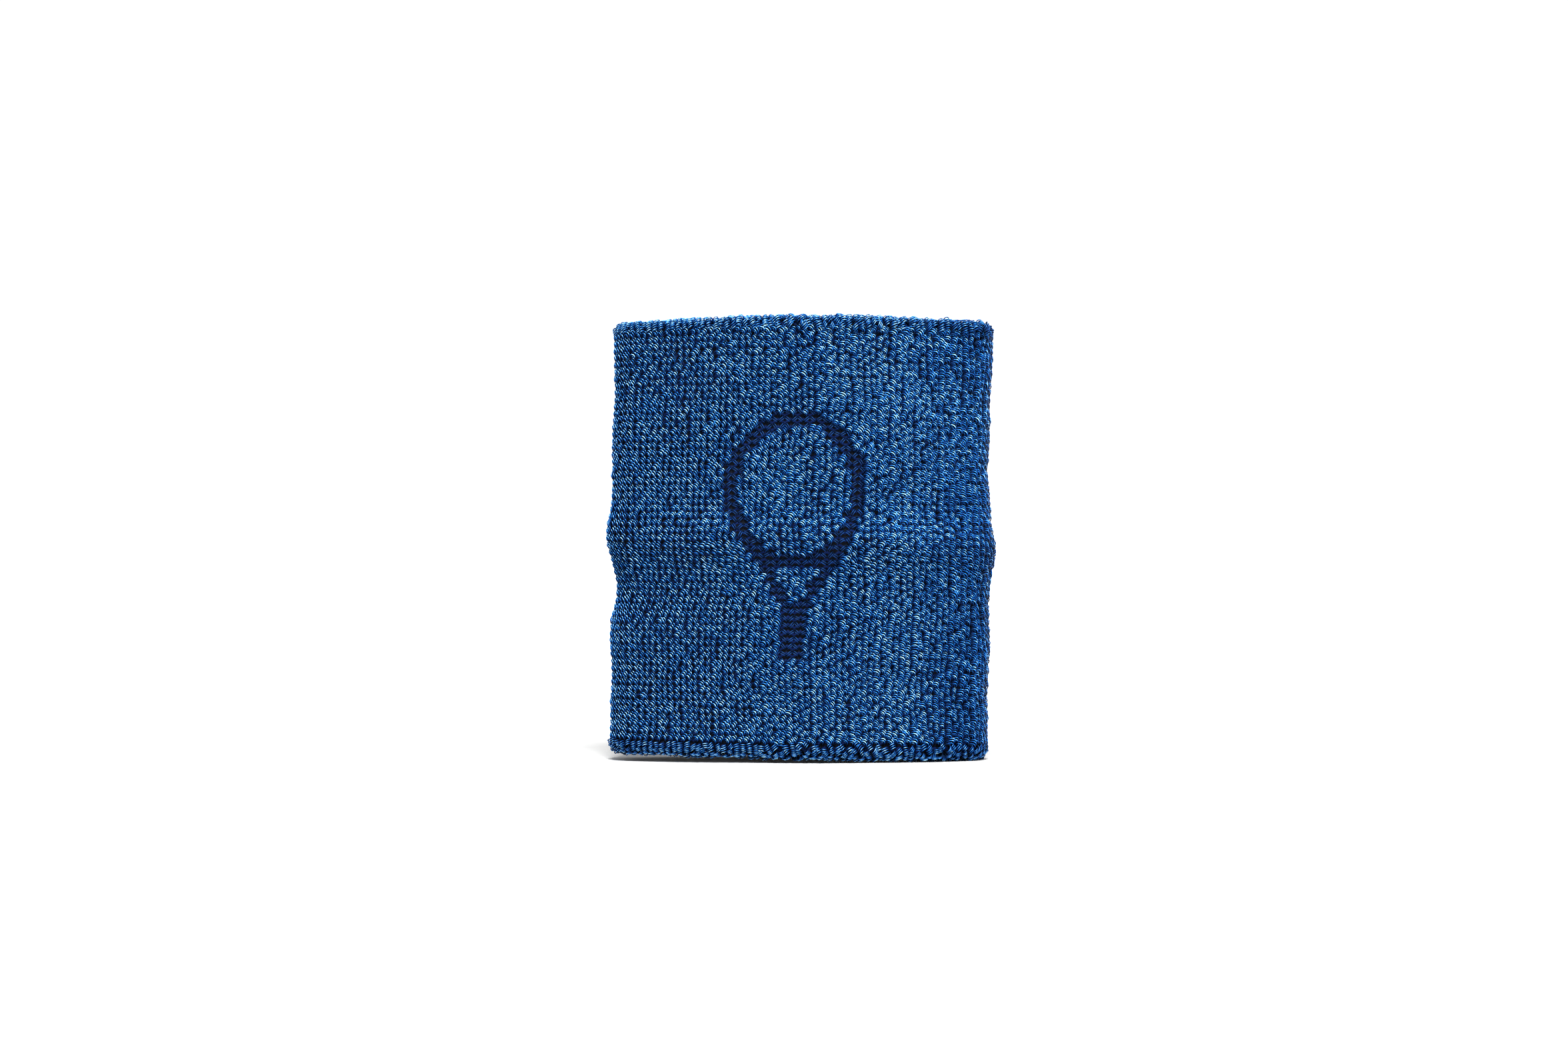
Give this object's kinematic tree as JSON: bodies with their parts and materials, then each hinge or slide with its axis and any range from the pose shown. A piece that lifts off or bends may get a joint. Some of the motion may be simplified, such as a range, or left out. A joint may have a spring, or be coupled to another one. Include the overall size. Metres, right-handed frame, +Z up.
{
  "type": "sweat wristband",
  "caption": "Terry-knit sweat wristband for racket sports: an oval double-walled tube of cotton pile, turned in at both cuffs, with a pile-free racket outline on its face.",
  "frame": {"origin": "under the middle of the lower cuff, on the surface that the band stands on", "axes": "+Z up the axis of the tube, +X across the flattened band, -Y out of the face that carries the motif"},
  "size_m": [0.0818, 0.0288, 0.0915],
  "materials": {
    "cotton_pile": "looped pile",
    "ground_knit": "flat knit",
    "elastic_yarn": "covered yarn",
    "sewing_thread": "overlock thread"
  },
  "bodies": {
    "root": {"face_elastic_yarn_01": "elastic_yarn", "face_elastic_yarn_02": "elastic_yarn", "face_elastic_yarn_03": "elastic_yarn", "face_elastic_yarn_04": "elastic_yarn", "face_elastic_yarn_05": "elastic_yarn", "face_elastic_yarn_06": "elastic_yarn", "face_elastic_yarn_07": "elastic_yarn", "face_elastic_yarn_08": "elastic_yarn", "face_ground_knit": "ground_knit", "face_pile": "cotton_pile", "lining_elastic_yarn_01": "elastic_yarn", "lining_elastic_yarn_02": "elastic_yarn", "lining_elastic_yarn_03": "elastic_yarn", "lining_elastic_yarn_04": "elastic_yarn", "lining_elastic_yarn_05": "elastic_yarn", "lining_elastic_yarn_06": "elastic_yarn", "lining_elastic_yarn_07": "elastic_yarn", "lining_elastic_yarn_08": "elastic_yarn", "lining_elastic_yarn_09": "elastic_yarn", "lining_lower_ground_knit": "ground_knit", "lining_lower_pile": "cotton_pile", "lining_upper_ground_knit": "ground_knit", "lining_upper_pile": "cotton_pile", "lower_turn_ground_knit": "ground_knit", "lower_turn_pile": "cotton_pile", "motif_head_pile": "cotton_pile", "motif_throat_pile": "cotton_pile", "overlock_looper_thread": "sewing_thread", "overlock_needle_thread": "sewing_thread", "seam_allowance_lower": "ground_knit", "seam_allowance_upper": "ground_knit", "upper_turn_ground_knit": "ground_knit", "upper_turn_pile": "cotton_pile"}
  },
  "joints": []
}
